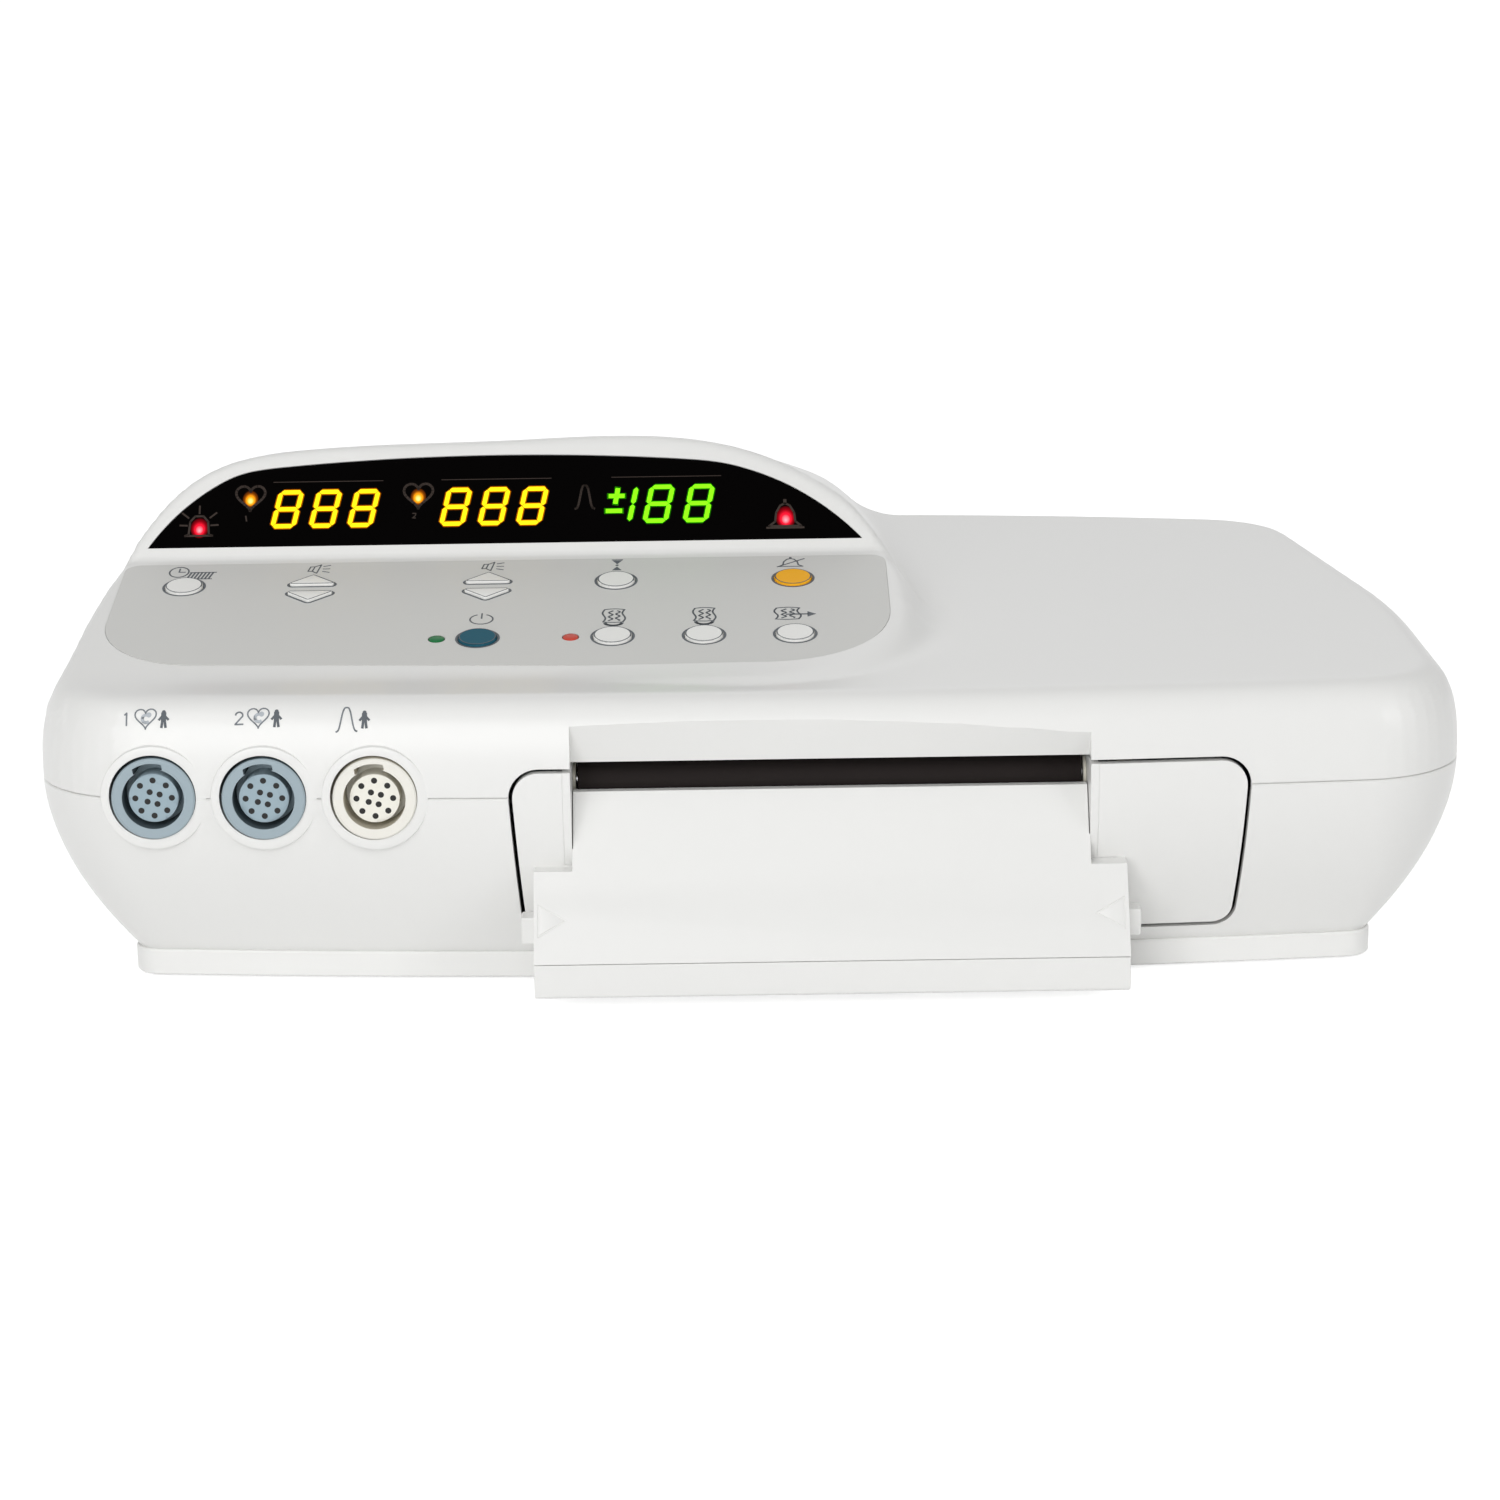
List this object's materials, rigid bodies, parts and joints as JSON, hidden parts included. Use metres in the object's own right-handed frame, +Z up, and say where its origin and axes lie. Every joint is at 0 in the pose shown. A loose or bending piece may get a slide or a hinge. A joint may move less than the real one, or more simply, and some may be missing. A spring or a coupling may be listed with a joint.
{
  "type": "cardiotocograph",
  "caption": "Desktop fetal monitor with a raised hooded display over a sloping keypad, round patient sockets and a chart recorder with a sliding paper drawer.",
  "frame": {"origin": "on the table under the middle of the whole object, with the paper drawer shut", "axes": "+X to the user's right along the front, +Y to the rear, +Z up"},
  "size_m": [0.446, 0.3116, 0.1489],
  "materials": {
    "case_plastic": "fine satin moulded ABS",
    "overlay_film": "matt printed polyester film",
    "dark_window": "smoked acrylic",
    "white_key": "satin",
    "yellow_key": "satin",
    "teal_key": "satin",
    "blue_plastic": "satin",
    "blue_insert": "satin",
    "ivory_plastic": "satin",
    "roller_rubber": "ground rubber",
    "foot_rubber": "moulded",
    "steel": "ground",
    "zinc_sheet": "zinc plated sheet",
    "aluminium": "extruded",
    "circuit_board": "green solder mask",
    "lamp_red": "moulded lens",
    "display_plastic": "epoxy filled",
    "gear_plastic": "acetal",
    "black_plastic": "moulded",
    "brass": "turned"
  },
  "bodies": {
    "housing": {"upper_case": "case_plastic", "lower_case": "case_plastic", "rubber_feet": "foot_rubber", "case_screws": "steel", "display_window": "dark_window", "keypad_overlay": "overlay_film", "display_board": "circuit_board", "rate_display_1": "display_plastic", "rate_display_2": "display_plastic", "pressure_display": "display_plastic", "indicator_lamps": "lamp_red", "switch_board": "circuit_board", "receptacle_shell_1": "blue_plastic", "receptacle_shell_2": "blue_plastic", "receptacle_shell_3": "ivory_plastic", "receptacle_core_1": "blue_insert", "receptacle_core_2": "blue_insert", "receptacle_core_3": "ivory_plastic", "input_board": "circuit_board", "chassis_plate": "zinc_sheet", "drawer_runners": "case_plastic", "main_board": "circuit_board", "power_supply": "zinc_sheet", "speaker": "black_plastic", "rear_panel": "zinc_sheet", "mains_inlet": "black_plastic", "ground_stud": "brass", "data_sockets": "black_plastic", "stepper_motor": "black_plastic", "gear_bracket": "zinc_sheet", "idler_pin": "steel", "print_head": "aluminium", "head_bracket": "zinc_sheet"},
    "drawer": {"drawer_front": "case_plastic", "paper_tray": "case_plastic", "paper_apron": "case_plastic", "tray_lip": "case_plastic", "roller_bushes": "gear_plastic", "left_latch_spring": "steel", "right_latch_spring": "steel"},
    "platen": {"platen_roller": "roller_rubber", "platen_shaft": "steel", "roller_gear": "gear_plastic"},
    "idler": {"idler_gear": "gear_plastic"},
    "pinion": {"motor_pinion": "brass"},
    "left_latch": {"left_latch": "case_plastic"},
    "right_latch": {"right_latch": "case_plastic"},
    "setup_key": {"setup_key": "white_key"},
    "reference_key": {"reference_key": "white_key"},
    "silence_key": {"silence_key": "yellow_key"},
    "power_key": {"power_key": "teal_key"},
    "record_key": {"record_key": "white_key"},
    "mark_key": {"mark_key": "white_key"},
    "advance_key": {"advance_key": "white_key"},
    "volume_1_up_key": {"volume_1_up_key": "white_key"},
    "volume_1_down_key": {"volume_1_down_key": "white_key"},
    "volume_2_up_key": {"volume_2_up_key": "white_key"},
    "volume_2_down_key": {"volume_2_down_key": "white_key"}
  },
  "joints": [
    {"name": "drawer_slide", "type": "slide", "parent": "housing", "child": "drawer", "axis": [0, -1, 0], "range_m": [0, 0.085]},
    {"name": "platen_spin", "type": "hinge", "parent": "drawer", "child": "platen", "pos_m": [0.0245, -0.11705, 0.064], "axis": [1, 0, 0], "continuous": true},
    {"name": "idler_spin", "type": "hinge", "parent": "housing", "child": "idler", "pos_m": [0.1155, -0.09745, 0.064], "axis": [1, 0, 0], "continuous": true},
    {"name": "pinion_spin", "type": "hinge", "parent": "housing", "child": "pinion", "pos_m": [0.1155, -0.08035, 0.05777], "axis": [1, 0, 0], "continuous": true},
    {"name": "left_latch_slide", "type": "slide", "parent": "drawer", "child": "left_latch", "axis": [1, 0, 0], "range_m": [0, 0.0025], "stiffness_N_per_m": 1500, "deforming": ["left_latch_spring"]},
    {"name": "right_latch_slide", "type": "slide", "parent": "drawer", "child": "right_latch", "axis": [-1, 0, 0], "range_m": [0, 0.0025], "stiffness_N_per_m": 1500, "deforming": ["right_latch_spring"]},
    {"name": "setup_press", "type": "slide", "parent": "housing", "child": "setup_key", "axis": [0, 0.2079, -0.9781], "range_m": [0, 0.0008], "stiffness_N_per_m": 400},
    {"name": "reference_press", "type": "slide", "parent": "housing", "child": "reference_key", "axis": [0, 0.2079, -0.9781], "range_m": [0, 0.0008], "stiffness_N_per_m": 400},
    {"name": "silence_press", "type": "slide", "parent": "housing", "child": "silence_key", "axis": [0, 0.2079, -0.9781], "range_m": [0, 0.0008], "stiffness_N_per_m": 400},
    {"name": "power_press", "type": "slide", "parent": "housing", "child": "power_key", "axis": [0, 0.2079, -0.9781], "range_m": [0, 0.0008], "stiffness_N_per_m": 400},
    {"name": "record_press", "type": "slide", "parent": "housing", "child": "record_key", "axis": [0, 0.2079, -0.9781], "range_m": [0, 0.0008], "stiffness_N_per_m": 400},
    {"name": "mark_press", "type": "slide", "parent": "housing", "child": "mark_key", "axis": [0, 0.2079, -0.9781], "range_m": [0, 0.0008], "stiffness_N_per_m": 400},
    {"name": "advance_press", "type": "slide", "parent": "housing", "child": "advance_key", "axis": [0, 0.2079, -0.9781], "range_m": [0, 0.0008], "stiffness_N_per_m": 400},
    {"name": "volume_1_up_press", "type": "slide", "parent": "housing", "child": "volume_1_up_key", "axis": [0, 0.2079, -0.9781], "range_m": [0, 0.0008], "stiffness_N_per_m": 400},
    {"name": "volume_1_down_press", "type": "slide", "parent": "housing", "child": "volume_1_down_key", "axis": [0, 0.2079, -0.9781], "range_m": [0, 0.0008], "stiffness_N_per_m": 400},
    {"name": "volume_2_up_press", "type": "slide", "parent": "housing", "child": "volume_2_up_key", "axis": [0, 0.2079, -0.9781], "range_m": [0, 0.0008], "stiffness_N_per_m": 400},
    {"name": "volume_2_down_press", "type": "slide", "parent": "housing", "child": "volume_2_down_key", "axis": [0, 0.2079, -0.9781], "range_m": [0, 0.0008], "stiffness_N_per_m": 400}
  ],
  "couplings": [
    {"joint": "idler_spin", "follows": "platen_spin", "ratio": -0.64706},
    {"joint": "pinion_spin", "follows": "platen_spin", "ratio": 1.2222}
  ]
}
